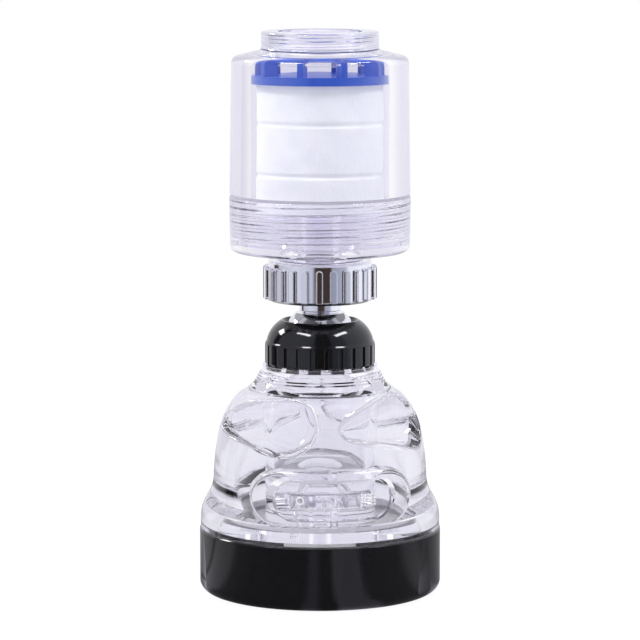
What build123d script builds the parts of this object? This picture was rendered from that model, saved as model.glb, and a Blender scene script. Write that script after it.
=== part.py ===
from build123d import *
import os
from math import acos, cos, degrees, radians, sin, sqrt

# Faucet filter with a swivelling sprayer. Sizes are in millimetres. The vertical axis runs through
# every round piece, the table is at height 0, and the selector on the sprayer faces -Y.

# Clearances between pieces
turn_gap = 0.05
thread_gap = 0.08
slip_gap = 0.2
swing_gap = 0.4
edge_break = 0.4
overshoot = 1.0

# Base ring
base_radius = 31.25
base_height = 16.6
base_wall = 1.95
base_lip = 1.7
base_lip_width = 5.75
base_round = 3.0
base_edge = 0.3
flute_count = 8
flute_angle = 7.5
flute_radius = 26.0
flute_depth = 0.45

# Spray plate with its jets and the tube of the centre outlet
plate_thickness = 2.5
plate_face_drop = 1.1
jet_radius = 0.6
inner_jet_ring = 14.5
inner_jet_count = 16
outer_jet_ring = 20.5
outer_jet_count = 24
outlet_radius = 8.0
outlet_wall = 1.4
plate_seal_thickness = 1.8

# Clear head, from its foot to the stop ring under the collar
foot_inset = 0.25
foot_height = 3.0
flare_height = 11.4
waist_setback = 3.4
wall_height = 11.2
wall_taper = 1.4
shoulder_height = 9.5
shoulder_setback = 5.2
throat_height = 5.7
throat_radius = 15.4
throat_step_count = 3
throat_step_height = 0.7
throat_step_share = 0.2
throat_step_land = 0.4
flare_share = 0.46
flare_swell = 0.37
flare_hollow = 0.5
wall_swell = 0.22
shoulder_round = 4.5
throat_hollow = 0.3
stop_height = 0.8
stop_radius = 14.9
stop_rim = 0.6
stop_rim_height = 0.9
head_wall = 4.8
skirt_wall = 2.8
chamber_seal_thickness = 1.2
seal_bite = 2.6
hollow_rise = 3.3
hollow_top_rise = 0.7
hollow_top_setback = 5.8
hollow_swell = 0.9
tube_inner = 12.0
tube_wall = 2.3
neck_radius = 12.6
neck_seat_radius = 10.25
neck_bore = 8.1

# Finger scoops in the head's shoulder: round and deep at one end, narrow at the other
scoop_count = 4
scoop_ball = 8.5
scoop_ball_angle = 62.0
scoop_ball_height = 5.1
scoop_ball_proud = 3.7
scoop_point = 2.4
scoop_point_angle = 11.0
scoop_point_height = 3.4
scoop_point_proud = 1.3
scoop_wall = 1.7
scoop_edge = 0.8

# Valve insert and its spool
valve_lift = 0.4
valve_flange = 2.5
valve_height = 13.4
well_radius = 5.8
well_depth = 2.0
well_rim = 10.7
tube_seal_thickness = 0.8
spool_radius = 2.5
spool_offset = 9.6
spool_half = 9.1
spool_notch = 0.92
spool_land_end = 5.4
spool_gallery_end = 7.4
spool_core = 1.3
spool_ring = 0.55
spool_ring_inset = 0.75
port_radius = 1.0

# Oval bezel and selector rocker on the front of the head
bezel_lift = 11.9
bezel_length = 41.0
bezel_height = 15.0
bezel_setback = 0.4
bezel_round = 1.3
bezel_rim_long = 5.2
bezel_rim_tall = 2.0
pocket_wall = 2.2
rocker_setback = 0.6
rocker_depth = 3.0
rocker_end_gap = 0.8
rocker_bar_length = 23.5
rocker_bar_height = 4.8
rocker_bar_rise = 0.4
rocker_swing = 5.0
trunnion_radius = 1.0
trunnion_length = 0.9
trunnion_inset = 1.7
lever_drop = 3.3
lever_width = 1.6
lever_height = 3.0
lever_tip = 0.8

# Ball joint
ball_radius = 9.5
ball_lift = 7.3
ball_crown = 7.1
ball_tail = 7.9
ball_bore = 3.6
stem_radius = 5.4
stem_groove_depth = 0.5
stem_groove_height = 0.6
nut_lift = 10.2
seat_low = 1.4
seat_high = 3.7
seat_radius = 10.9
ball_seal_low = 5.3
ball_seal_high = 2.0

# Black collar
collar_radius = 14.24
collar_rim_radius = 9.95
collar_rim_lift = 5.2
collar_grip_top = 0.9
collar_cap_radius = 13.84
collar_swell = 0.72
collar_mouth = 8.9
collar_grooves = 24
collar_groove_width = 1.1
collar_groove_depth = 0.55
lug_count = 14
lug_width = 3.2
lug_height = 1.1

# Union nut, washer and stem flange
nut_height = 10.6
nut_radius = 13.5
nut_lip = 2.0
nut_hole = 6.0
nut_band = 0.35
nut_rib_count = 24
nut_rib_width = 1.5
nut_rib_rise = 1.2
nut_rib_top = 1.6
nut_foot = 0.7
flange_thickness = 1.5
flange_radius = 10.4
washer_thickness = 2.0
washer_radius = 10.6
washer_hole = 4.6

# Lower cap with the threaded spigot
spigot_radius = 11.0
cap_lift = 2.2
cap_boss_radius = 13.0
cap_boss_height = 1.2
cap_radius = 23.2
cap_top_radius = 23.4
cap_height = 14.15
cap_floor = 2.5
cap_corner = 1.3
cap_thread_radius = 21.5
cap_rib_count = 8
cap_rib_width = 1.0
cap_rib_height = 1.2
cap_rib_start = 9.2
cap_rib_angle = 14.0
outlet_bore = 7.0
cap_seal_thickness = 0.75

# Filter housing
housing_radius = 23.3
housing_taper = 0.5
housing_bore = 17.9
housing_shoulder_rise = 2.3
housing_shoulder_inset = 1.8
housing_shoulder_swell = 0.6
inlet_slope_rise = 1.2
inlet_radius = 15.1
inlet_height = 8.4
inlet_fillet = 1.1
inlet_hollow = 0.32
inlet_thread_radius = 10.46
inlet_groove_radius = 11.3
inlet_thread_height = 4.3
inlet_edge = 0.6
gasket_thickness = 2.0
gasket_hole = 6.8
ledge_thickness = 1.5
ledge_hole = 7.5
ceiling_edge = 0.4

# Filter cartridge
cotton_radius = 16.4
cotton_height = 32.6
cotton_groove_pitch = 12.9
cotton_groove_depth = 0.35
core_radius = 6.2
core_bore = 5.0
core_slot_width = 2.0
core_slot_height = 5.2
core_slot_rows = 4
end_cap_thickness = 1.5
top_cap_thickness = 2.1
top_cap_radius = 17.6
fin_count = 10
fin_angle = 13.0
fin_width = 1.4
fin_height = 2.85
fin_inner = 13.4
fin_outer = 16.9
cartridge_foot_radius = 8.6
cartridge_foot_height = 6.85
nozzle_radius = 6.9
nozzle_length = 4.85
nozzle_bore = 3.8
nozzle_groove_depth = 1.2
nozzle_groove_width = 1.8

# Aerator
aerator_height = 8.0
aerator_wall = 1.35
aerator_lip = 0.8
aerator_mesh_thickness = 0.6
aerator_disc_thickness = 1.4
aerator_hole_count = 12

# Heights that follow, from the table up
plate_bottom = base_lip
plate_top = plate_bottom + plate_thickness
skirt_bottom = plate_top + plate_seal_thickness
valve_bottom = base_height + valve_lift
valve_top = valve_bottom + valve_height
chamber_seal_bottom = valve_bottom + valve_flange
ledge_height = chamber_seal_bottom + chamber_seal_thickness
tube_bottom = valve_top + tube_seal_thickness
selector_height = base_height + bezel_lift
lever_level = selector_height - lever_drop
foot_top = base_height + foot_height
waist_level = foot_top + flare_height
wall_top = waist_level + wall_height
shoulder_top = wall_top + shoulder_height
throat_top = shoulder_top + throat_height
stop_top = throat_top + stop_height
ball_level = stop_top + ball_lift
collar_bottom = stop_top + lug_height
seat_shelf = ball_level + seat_low - turn_gap
nut_bottom = ball_level + nut_lift
nut_top = nut_bottom + nut_height
flange_bottom = nut_bottom + nut_lip + turn_gap
flange_top = flange_bottom + flange_thickness
washer_bottom = flange_top + turn_gap
washer_top = washer_bottom + washer_thickness
cap_bottom = nut_top + cap_lift
cap_floor_top = cap_bottom + cap_floor
cap_top = cap_bottom + cap_height
nozzle_end = cap_floor_top + turn_gap - nozzle_length
housing_bottom = cap_top + cap_seal_thickness
skirt_end = cap_floor_top + cap_rib_height + slip_gap
foot_bottom = cap_floor_top + turn_gap
bottom_cap_level = foot_bottom + cartridge_foot_height
cotton_bottom = bottom_cap_level + end_cap_thickness
cotton_top = cotton_bottom + cotton_height
top_cap_top = cotton_top + top_cap_thickness
ceiling_level = top_cap_top + fin_height + slip_gap
gasket_seat = ceiling_level + ledge_thickness
groove_top = gasket_seat + gasket_thickness + turn_gap
inlet_top = groove_top + inlet_thread_height
housing_wall_top = inlet_top - inlet_height

# Radii that follow
base_bore = base_radius - base_wall
lip_radius = base_radius - base_lip_width
head_skirt_radius = base_bore - thread_gap
skirt_bore = head_skirt_radius - skirt_wall
foot_radius = base_radius - foot_inset
waist_radius = foot_radius - waist_setback
wall_top_radius = waist_radius - wall_taper
shoulder_radius = wall_top_radius - shoulder_setback
throat_step_width = (shoulder_radius - throat_radius) * throat_step_share / throat_step_count
bezel_reach = foot_radius - bezel_setback
rocker_face = bezel_reach - rocker_setback
cavity_radius = waist_radius - head_wall
hollow_top_radius = cavity_radius - hollow_top_setback
tube_outer = tube_inner + tube_wall
outlet_outer = outlet_radius + outlet_wall
collar_bore = neck_radius + thread_gap
socket_radius = ball_radius + turn_gap
nut_bore = spigot_radius + thread_gap
skirt_thread_radius = cap_thread_radius - thread_gap
housing_top_radius = housing_radius - housing_taper


def sphere_radius(radius, offset):
    """Radius of the level circle on a ball at a height offset from its centre."""
    return sqrt(radius**2 - offset**2)


def on_sphere(radius, offset):
    """Section point on a ball joint sphere, at a height offset from the ball's centre."""
    return (sphere_radius(radius, offset), ball_level + offset)


def front_point(angle, radius, level):
    """Point at an angle from the front, counted towards +X."""
    return (radius * sin(radians(angle)), -radius * cos(radians(angle)), level)


def across(angle, radius, level, half_width):
    """The two ends of a level line square to the radius at an angle from the front."""
    middle = Vector(*front_point(angle, radius, level))
    way = Vector(cos(radians(angle)), sin(radians(angle)), 0)
    return tuple(middle - way * half_width), tuple(middle + way * half_width)


def ring(inner, outer, low, high, mode=Mode.ADD):
    """A plain ring or disc about the axis, added to or cut from the piece being built."""
    with BuildSketch(Plane.XY.offset(low)) as section:
        Circle(outer)
        if inner > 0:
            Circle(inner, mode=Mode.SUBTRACT)
    extrude(section.sketch, amount=high - low, mode=mode)


def drill(start, end, radius, mode=Mode.SUBTRACT):
    """A round passage between two points, cut from the piece being built."""
    way = Vector(*end) - Vector(*start)
    with BuildSketch(Plane(origin=start, z_dir=way)) as mouth:
        Circle(radius)
    extrude(mouth.sketch, amount=way.length, mode=mode)


def front_slot(length, height, level, near, far):
    """A level oval prism that stands out of the front, from one distance to another."""
    plane = Plane(origin=(0, -near, level), x_dir=(1, 0, 0), z_dir=(0, -1, 0))
    with BuildPart() as prism:
        with BuildSketch(plane):
            SlotOverall(length, height)
        extrude(amount=far - near)
    return prism.part


def column(radius, low, high):
    """A plain round column about the axis."""
    with BuildPart() as round_column:
        ring(0, radius, low, high)
    return round_column.part


# Base ring with an inward lip, a rounded foot and shallow grip flutes
with BuildPart() as base_ring:
    with BuildSketch(Plane.XZ):
        with BuildLine():
            turn = base_round * (1 - cos(radians(45)))
            ThreePointArc(
                (base_radius - base_round, 0),
                (base_radius - turn, turn),
                (base_radius, base_round),
            )
            Polyline(
                (base_radius, base_round),
                (base_radius, base_height - base_edge),
                (base_radius - base_edge, base_height),
                (base_bore, base_height),
                (base_bore, base_lip),
                (lip_radius, base_lip),
                (lip_radius, 0),
                (base_radius - base_round, 0),
            )
        make_face()
    revolve(axis=Axis.Z)
    flute_reach = base_radius - flute_depth + flute_radius
    flute_taper = flute_depth * overshoot / base_height
    for index in range(flute_count):
        angle = flute_angle + index * 360 / flute_count
        drill(
            front_point(angle, flute_reach - flute_taper, -overshoot),
            front_point(angle, flute_reach + flute_depth + flute_taper, base_height + overshoot),
            flute_radius,
        )
base_ring.part.label = "base_ring"

# Spray plate, seated on the lip, with the tube that holds the aerator
with BuildPart() as spray_plate:
    ring(0, base_bore - thread_gap, plate_bottom, plate_top)
    ring(0, lip_radius - slip_gap, plate_bottom - plate_face_drop, plate_bottom)
    ring(0, outlet_outer, plate_top, valve_bottom)
    ring(0, outlet_radius, plate_bottom - plate_face_drop, valve_bottom, Mode.SUBTRACT)
    for ring_radius, jet_count in ((inner_jet_ring, inner_jet_count), (outer_jet_ring, outer_jet_count)):
        with BuildSketch(Plane.XY.offset(plate_bottom - plate_face_drop)):
            with PolarLocations(ring_radius, jet_count):
                Circle(jet_radius)
        extrude(amount=plate_thickness + plate_face_drop, mode=Mode.SUBTRACT)
spray_plate.part.label = "spray_plate"

# Seal between the spray plate and the head's skirt
with BuildPart() as plate_seal:
    ring(skirt_bore, head_skirt_radius, plate_top, skirt_bottom)
plate_seal.part.label = "plate_seal"

# Aerator: housing, mesh on its lip, and the disc whose skirt holds the mesh down
aerator_bottom = plate_bottom - plate_face_drop
aerator_top = aerator_bottom + aerator_height
aerator_bore = outlet_radius - thread_gap - aerator_wall
mesh_bottom = aerator_bottom + aerator_lip
mesh_top = mesh_bottom + aerator_mesh_thickness
with BuildPart() as aerator_housing:
    ring(aerator_bore, outlet_radius - thread_gap, mesh_bottom, aerator_top)
    ring(aerator_bore - aerator_lip, outlet_radius - thread_gap, aerator_bottom, mesh_bottom)
aerator_housing.part.label = "aerator_housing"

with BuildPart() as aerator_mesh:
    ring(0, aerator_bore - turn_gap, mesh_bottom, mesh_top)
aerator_mesh.part.label = "aerator_mesh"

with BuildPart() as aerator_disc:
    ring(0, aerator_bore - turn_gap, mesh_top, aerator_top)
    ring(0, aerator_bore - aerator_lip, mesh_top, aerator_top - aerator_disc_thickness, Mode.SUBTRACT)
    with BuildSketch(Plane.XY.offset(aerator_top - aerator_disc_thickness)):
        with PolarLocations((aerator_bore - aerator_lip) / 2, aerator_hole_count):
            Circle(jet_radius)
    extrude(amount=aerator_disc_thickness, mode=Mode.SUBTRACT)
aerator_disc.part.label = "aerator_disc"

# Selector geometry shared by the head, the rocker, the valve insert and the spool
pocket_floor = cavity_radius + pocket_wall
pocket_length = bezel_length - 2 * bezel_rim_long
pocket_height = bezel_height - 2 * bezel_rim_tall
pivot_reach = rocker_face - trunnion_inset
spool_bore = spool_radius + turn_gap
tip_reach = spool_offset + spool_radius - lever_tip + turn_gap
lever_length = pivot_reach - tip_reach
swing = sin(radians(rocker_swing))
window_half = lever_width / 2 + (pivot_reach - cavity_radius) * swing + swing_gap
valve_window_half = lever_width / 2 + lever_length * swing + swing_gap
window_height = lever_height + 2 * swing_gap


def radial_window(half_width, height, near, far):
    """A box at the lever's level, from one distance in front of the axis to another."""
    with BuildPart() as window:
        with BuildSketch(Plane(origin=(0, -near, lever_level), x_dir=(1, 0, 0), z_dir=(0, -1, 0))):
            Rectangle(2 * half_width, height)
        extrude(amount=far - near)
    return window.part


bezel = front_slot(bezel_length, bezel_height, selector_height, tube_outer, bezel_reach + overshoot)
bezel &= column(bezel_reach, ledge_height, shoulder_top)
bezel_edge = bezel.edges().filter_by(
    lambda e: abs(Vector(e @ 0.5).X ** 2 + Vector(e @ 0.5).Y ** 2 - bezel_reach**2) < 0.01
)
bezel = fillet(bezel_edge, bezel_round)
bezel -= column(cavity_radius, ledge_height, shoulder_top)
pocket = front_slot(pocket_length, pocket_height, selector_height, tube_outer, bezel_reach + overshoot)
pocket -= column(pocket_floor, ledge_height, shoulder_top)

# Each scoop is a drop on its side: a ball near the wall's top, and a cone from it to a small ball.
shoulder_run = wall_top_radius - shoulder_radius
shoulder_slope = shoulder_run / shoulder_height
scoop_ball_radius = wall_top_radius - scoop_ball_height * shoulder_slope + scoop_ball_proud
scoop_point_radius = wall_top_radius - scoop_point_height * shoulder_slope + scoop_point_proud
scoop_start = Vector(*front_point(scoop_ball_angle, scoop_ball_radius, wall_top + scoop_ball_height))
scoop_end = Vector(*front_point(scoop_point_angle, scoop_point_radius, wall_top + scoop_point_height))


def scoop(extra):
    """The cutter of the right front scoop, grown by an amount all round."""
    way = scoop_end - scoop_start
    ball = scoop_ball + extra
    point = scoop_point + extra
    lean = (ball - point) / way.length
    rise = sqrt(1 - lean**2)
    plane = Plane(origin=scoop_start, x_dir=way, z_dir=way.cross(Vector(0, 0, 1)))
    with BuildPart() as drop:
        with BuildSketch(plane):
            with BuildLine():
                CenterArc((0, 0), ball, degrees(acos(lean)), 180 - degrees(acos(lean)))
                Line((ball * lean, ball * rise), (way.length + point * lean, point * rise))
                CenterArc((way.length, 0), point, 0, degrees(acos(lean)))
                Line((way.length + point, 0), (-ball, 0))
            make_face()
        revolve(axis=Axis(scoop_start, way))
    return drop.part


# Hollow of the head round its inner tube. It keeps a wall behind each finger scoop.
hollow_top = shoulder_top + hollow_top_rise
throat_cone = tube_inner - neck_bore
tube_top = ball_level - ball_radius - turn_gap - throat_cone - slip_gap
with BuildPart() as head_hollow:
    with BuildSketch(Plane.XZ):
        with BuildLine():
            Polyline(
                (0, skirt_bottom),
                (skirt_bore, skirt_bottom),
                (skirt_bore, ledge_height),
                (cavity_radius, ledge_height),
                (cavity_radius, wall_top + hollow_rise),
            )
            SagittaArc(
                (cavity_radius, wall_top + hollow_rise),
                (hollow_top_radius, hollow_top),
                -hollow_swell,
            )
            Polyline(
                (hollow_top_radius, hollow_top),
                (tube_outer, hollow_top),
                (tube_outer, tube_bottom),
                (tube_inner, tube_bottom),
                (tube_inner, tube_top),
                (neck_bore, tube_top + throat_cone),
                (neck_bore, ball_level - ball_seal_low),
                (neck_seat_radius, ball_level - ball_seal_low),
                (neck_seat_radius, seat_shelf),
                (0, seat_shelf),
                (0, skirt_bottom),
            )
        make_face()
    revolve(axis=Axis.Z)
    scoop_backing = scoop(scoop_wall)
    with PolarLocations(0, scoop_count):
        add(scoop_backing, mode=Mode.SUBTRACT)

# Clear head: outer skin, threaded skirt, inner tube and neck in one moulding
with BuildPart() as spray_body:
    with BuildSketch(Plane.XZ) as head_section:
        with BuildLine():
            Polyline(
                (0, skirt_bottom),
                (head_skirt_radius, skirt_bottom),
                (head_skirt_radius, base_height),
                (foot_radius, base_height),
                (foot_radius, foot_top),
            )
            flare_middle = (
                (foot_radius + waist_radius) / 2,
                foot_top + flare_share * flare_height,
            )
            SagittaArc((foot_radius, foot_top), flare_middle, -flare_swell)
            SagittaArc(flare_middle, (waist_radius, waist_level), flare_hollow)
            wall_line = SagittaArc((waist_radius, waist_level), (wall_top_radius, wall_top), -wall_swell)
            TangentArc((wall_top_radius, wall_top), (shoulder_radius, shoulder_top), tangent=wall_line % 1)
            throat_foot = (
                throat_radius + throat_step_count * throat_step_width,
                throat_top - throat_step_count * throat_step_height,
            )
            SagittaArc((shoulder_radius, shoulder_top), throat_foot, throat_hollow)
            for index in range(throat_step_count):
                step_foot = (
                    throat_foot[0] - index * throat_step_width,
                    throat_foot[1] + index * throat_step_height,
                )
                Polyline(
                    step_foot,
                    (step_foot[0], step_foot[1] + throat_step_land),
                    (step_foot[0] - throat_step_width, step_foot[1] + throat_step_height),
                )
            Polyline(
                (throat_radius, throat_top),
                (stop_radius, throat_top),
                (stop_radius, stop_top + stop_rim_height),
                (stop_radius - stop_rim, stop_top + stop_rim_height),
                (stop_radius - stop_rim, stop_top),
                (neck_radius, stop_top),
                (neck_radius, seat_shelf),
                (0, seat_shelf),
                (0, skirt_bottom),
            )
        make_face()
        shoulder_corner = head_section.vertices().sort_by_distance((shoulder_radius, shoulder_top))[0]
        fillet(shoulder_corner, min(shoulder_round, shoulder_radius - throat_radius))
    revolve(axis=Axis.Z)
    add(head_hollow.part, mode=Mode.SUBTRACT)
    scoop_hollow = scoop(0)
    with PolarLocations(0, scoop_count):
        add(scoop_hollow, mode=Mode.SUBTRACT)
    scoop_rims = spray_body.edges(Select.LAST).filter_by(GeomType.BSPLINE)
    fillet(scoop_rims, scoop_edge)
    add(bezel)
    add(pocket, mode=Mode.SUBTRACT)
    window = radial_window(window_half, window_height, tube_outer + swing_gap, pocket_floor + overshoot)
    add(window, mode=Mode.SUBTRACT)
    socket_half = pocket_height / 2 + trunnion_length + slip_gap
    drill(
        (0, -pivot_reach, selector_height - socket_half),
        (0, -pivot_reach, selector_height + socket_half),
        trunnion_radius + turn_gap,
    )
spray_body.part.label = "spray_body"

# Rocker with two trunnions, a raised bar on its face and the lever that drives the spool
with BuildPart() as mode_rocker:
    rocker_length = pocket_length - 2 * rocker_end_gap
    rocker_height = pocket_height - 2 * swing_gap
    plate = front_slot(rocker_length, rocker_height, selector_height, tube_outer, bezel_reach)
    rim_levels = (selector_height - bezel_height, selector_height + bezel_height)
    add(plate & column(rocker_face, *rim_levels))
    bar = front_slot(rocker_bar_length, rocker_bar_height, selector_height, tube_outer, bezel_reach)
    add(bar & column(rocker_face + rocker_bar_rise, *rim_levels))
    ring(0, rocker_face - rocker_depth, *rim_levels, Mode.SUBTRACT)
    trunnion_half = pocket_height / 2 + trunnion_length
    drill(
        (0, -pivot_reach, selector_height - trunnion_half),
        (0, -pivot_reach, selector_height + trunnion_half),
        trunnion_radius,
        Mode.ADD,
    )
    add(radial_window(lever_width / 2, lever_height, tip_reach, pivot_reach))
    drill(
        (0, -tip_reach, lever_level - lever_height / 2),
        (0, -tip_reach, lever_level + lever_height / 2),
        lever_tip,
        Mode.ADD,
    )
mode_rocker.part.label = "mode_rocker"

# Valve insert: flange, barrel, round inlet well, and the level bore of the spool
with BuildPart() as valve_body:
    ring(0, skirt_bore - slip_gap, valve_bottom, chamber_seal_bottom)
    ring(0, tube_outer, chamber_seal_bottom, valve_top)
    ring(0, well_rim, valve_top, tube_bottom)
    ring(0, well_radius, valve_top - well_depth, tube_bottom, Mode.SUBTRACT)
    gallery = (spool_land_end + spool_gallery_end) / 2
    drill((-tube_outer, -spool_offset, lever_level), (tube_outer, -spool_offset, lever_level), spool_bore)
    window = radial_window(valve_window_half, window_height, spool_offset, tube_outer + overshoot)
    add(window, mode=Mode.SUBTRACT)
    for side in (-1, 1):
        drill(
            (side * well_radius / 2, -well_radius / 2, valve_top - well_depth + port_radius),
            (side * gallery, -spool_offset, lever_level),
            port_radius,
        )
    drill((-gallery, -spool_offset, lever_level), (-gallery, -spool_offset, valve_bottom), port_radius)
    drill((gallery, -spool_offset, lever_level), (0, 0, lever_level), port_radius)
    drill((0, 0, lever_level + port_radius), (0, 0, valve_bottom), 2 * port_radius)
valve_body.part.label = "valve_body"

with BuildPart() as tube_seal:
    ring(tube_inner, tube_outer, valve_top, tube_bottom)
tube_seal.part.label = "tube_seal"

with BuildPart() as chamber_seal:
    ring(cavity_radius, cavity_radius + seal_bite, chamber_seal_bottom, ledge_height)
chamber_seal.part.label = "chamber_seal"

# Spool: a notch for the lever in the middle, a gallery on each side, and grooves for four rings
ring_groove = spool_radius - 2 * spool_ring
ring_places = (
    spool_land_end - spool_ring_inset,
    spool_gallery_end + spool_ring_inset,
)
spool_plane = Plane(origin=(0, -spool_offset, lever_level), z_dir=(1, 0, 0))
with BuildPart() as diverter_spool:
    with BuildSketch(spool_plane):
        Circle(spool_radius)
    extrude(amount=spool_half, both=True)
    for place, half_width, core in (
        (0, spool_notch, spool_core / 2),
        (-gallery, gallery - spool_land_end, spool_core),
        (gallery, gallery - spool_land_end, spool_core),
        (-ring_places[1], spool_ring, ring_groove),
        (-ring_places[0], spool_ring, ring_groove),
        (ring_places[0], spool_ring, ring_groove),
        (ring_places[1], spool_ring, ring_groove),
    ):
        with BuildSketch(spool_plane.offset(place - half_width)):
            Circle(spool_radius + overshoot)
            Circle(core, mode=Mode.SUBTRACT)
        extrude(amount=2 * half_width, mode=Mode.SUBTRACT)
diverter_spool.part.label = "diverter_spool"

with BuildPart() as spool_seals:
    for place in (-ring_places[1], -ring_places[0], ring_places[0], ring_places[1]):
        with Locations(Location(spool_plane.offset(place))):
            Torus(ring_groove + spool_ring, spool_ring)
spool_seals.part.label = "spool_seals"

# Ring under the ball, seated in the neck
with BuildPart() as ball_seal:
    with BuildSketch(Plane.XZ):
        with BuildLine():
            low_point = on_sphere(socket_radius, -ball_seal_low)
            high_point = on_sphere(socket_radius, -ball_seal_high)
            ThreePointArc(
                low_point,
                on_sphere(socket_radius, -(ball_seal_low + ball_seal_high) / 2),
                high_point,
            )
            Polyline(
                high_point,
                (neck_seat_radius - turn_gap, high_point[1]),
                (neck_seat_radius - turn_gap, low_point[1]),
                (neck_bore, low_point[1]),
                low_point,
            )
        make_face()
    revolve(axis=Axis.Z)
ball_seal.part.label = "ball_seal"

# Ring on the upper half of the ball, held down by the collar
with BuildPart() as ball_seat:
    with BuildSketch(Plane.XZ):
        with BuildLine():
            low_point = on_sphere(socket_radius, seat_low)
            high_point = on_sphere(socket_radius, seat_high)
            ThreePointArc(low_point, on_sphere(socket_radius, (seat_low + seat_high) / 2), high_point)
            Polyline(
                high_point,
                (seat_radius, high_point[1]),
                (seat_radius, low_point[1]),
                low_point,
            )
        make_face()
    revolve(axis=Axis.Z)
ball_seat.part.label = "ball_seat"

# Hollow ball with its stem and the flange that the nut lifts
with BuildPart() as ball_stem:
    with BuildSketch(Plane.XZ):
        with BuildLine():
            tail_point = on_sphere(ball_radius, -ball_tail)
            crown_point = on_sphere(ball_radius, ball_crown)
            ThreePointArc(tail_point, (ball_radius, ball_level), crown_point)
            Polyline(
                crown_point,
                (stem_radius - stem_groove_depth, crown_point[1]),
                (stem_radius - stem_groove_depth, crown_point[1] + stem_groove_height),
                (stem_radius, crown_point[1] + stem_groove_height),
                (stem_radius, flange_bottom),
                (flange_radius, flange_bottom),
                (flange_radius, flange_top),
                (ball_bore, flange_top),
                (ball_bore, tail_point[1]),
                tail_point,
            )
        make_face()
    revolve(axis=Axis.Z)
ball_stem.part.label = "ball_stem"

# Black collar: threaded skirt with grip ribs and lugs, domed cap and the mouth round the ball
with BuildPart() as ball_collar:
    grip_top = ball_level - collar_grip_top
    rim_level = ball_level + collar_rim_lift
    mouth_level = ball_level + seat_high + turn_gap
    step = collar_radius - collar_cap_radius
    with BuildSketch(Plane.XZ):
        with BuildLine():
            Polyline(
                (collar_cap_radius, grip_top + 2 * step),
                (collar_radius - step / 3, grip_top + step),
                (collar_radius, grip_top),
                (collar_radius, collar_bottom + step),
                (collar_radius - step, collar_bottom),
                (collar_bore, collar_bottom),
                (collar_bore, seat_shelf + turn_gap),
                (seat_radius + turn_gap, seat_shelf + turn_gap),
                (seat_radius + turn_gap, mouth_level),
                (collar_mouth, mouth_level),
                (collar_rim_radius - step, rim_level),
                (collar_rim_radius, rim_level),
            )
            SagittaArc(
                (collar_rim_radius, rim_level),
                (collar_cap_radius, grip_top + 2 * step),
                collar_swell,
            )
        make_face()
    revolve(axis=Axis.Z)
    with BuildSketch(Plane.XY.offset(collar_bottom)):
        with PolarLocations(collar_radius, collar_grooves):
            Rectangle(2 * collar_groove_depth, collar_groove_width)
    extrude(amount=grip_top - collar_bottom, mode=Mode.SUBTRACT)
    lug_depth = collar_radius - step - collar_bore
    with BuildSketch(Plane.XY.offset(stop_top)):
        with PolarLocations(collar_bore + lug_depth / 2, lug_count):
            Rectangle(lug_depth, lug_width)
    extrude(amount=lug_height)
ball_collar.part.label = "ball_collar"

# Chrome union nut with raised ribs
nut_rib_bottom = nut_bottom + nut_foot
nut_rib_top_level = nut_top - nut_rib_top


def nut_rib():
    """One rib at the front of the nut, with a round top."""
    start = (0, -(nut_radius - nut_rib_rise), nut_rib_bottom)
    height = nut_rib_top_level - nut_rib_bottom - nut_rib_width / 2
    with BuildPart() as rib:
        with BuildSketch(Plane(origin=start, x_dir=(1, 0, 0), z_dir=(0, -1, 0))):
            Rectangle(nut_rib_width, height, align=(Align.CENTER, Align.MIN))
            with Locations((0, height)):
                Circle(nut_rib_width / 2)
        extrude(amount=2 * nut_rib_rise)
    return rib.part


with BuildPart() as union_nut:
    with BuildSketch(Plane.XZ):
        with BuildLine():
            Polyline(
                (nut_hole, nut_bottom),
                (nut_radius - nut_foot, nut_bottom),
                (nut_radius, nut_rib_bottom),
                (nut_radius, nut_top - nut_foot),
                (nut_radius - nut_band, nut_top),
                (nut_bore + nut_band, nut_top),
                (nut_bore, nut_top - nut_band),
                (nut_bore, nut_bottom + nut_lip),
                (nut_hole, nut_bottom + nut_lip),
                close=True,
            )
        make_face()
    revolve(axis=Axis.Z)
    front_rib = nut_rib()
    with PolarLocations(0, nut_rib_count, start_angle=180 / nut_rib_count):
        add(front_rib)
union_nut.part.label = "union_nut"

# Washer between the stem's flange and the end of the spigot
with BuildPart() as union_washer:
    ring(washer_hole, washer_radius, washer_bottom, washer_top)
union_washer.part.label = "union_washer"

# Clear lower cap: floor with ribs, threaded wall, and the spigot that the nut screws onto
with BuildPart() as lower_cap:
    with BuildSketch(Plane.XZ):
        with BuildLine():
            Polyline(
                (cap_radius, cap_bottom + cap_corner),
                (cap_top_radius, cap_top),
                (cap_thread_radius + edge_break, cap_top),
                (cap_thread_radius, cap_top - edge_break),
                (cap_thread_radius, cap_floor_top),
                (outlet_bore, cap_floor_top),
                (outlet_bore, nozzle_end - slip_gap),
                (washer_hole, nozzle_end - slip_gap),
                (washer_hole, washer_top),
                (spigot_radius - edge_break, washer_top),
                (spigot_radius, washer_top + edge_break),
                (spigot_radius, cap_bottom - cap_boss_height),
                (cap_boss_radius, cap_bottom - cap_boss_height),
                (cap_boss_radius, cap_bottom),
                (cap_radius - cap_corner, cap_bottom),
            )
            RadiusArc(
                (cap_radius - cap_corner, cap_bottom),
                (cap_radius, cap_bottom + cap_corner),
                -cap_corner,
            )
        make_face()
    revolve(axis=Axis.Z)
    with BuildSketch(Plane.XY.offset(cap_floor_top)):
        cap_rib_length = cap_thread_radius + slip_gap - cap_rib_start
        with PolarLocations(cap_rib_start + cap_rib_length / 2, cap_rib_count, start_angle=cap_rib_angle - 90):
            Rectangle(cap_rib_length, cap_rib_width)
    extrude(amount=cap_rib_height)
lower_cap.part.label = "lower_cap"

# Seal in the seam between the lower cap and the housing
with BuildPart() as cap_seal:
    ring(skirt_thread_radius, cap_radius - 2 * turn_gap, cap_top, housing_bottom)
cap_seal.part.label = "cap_seal"

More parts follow.
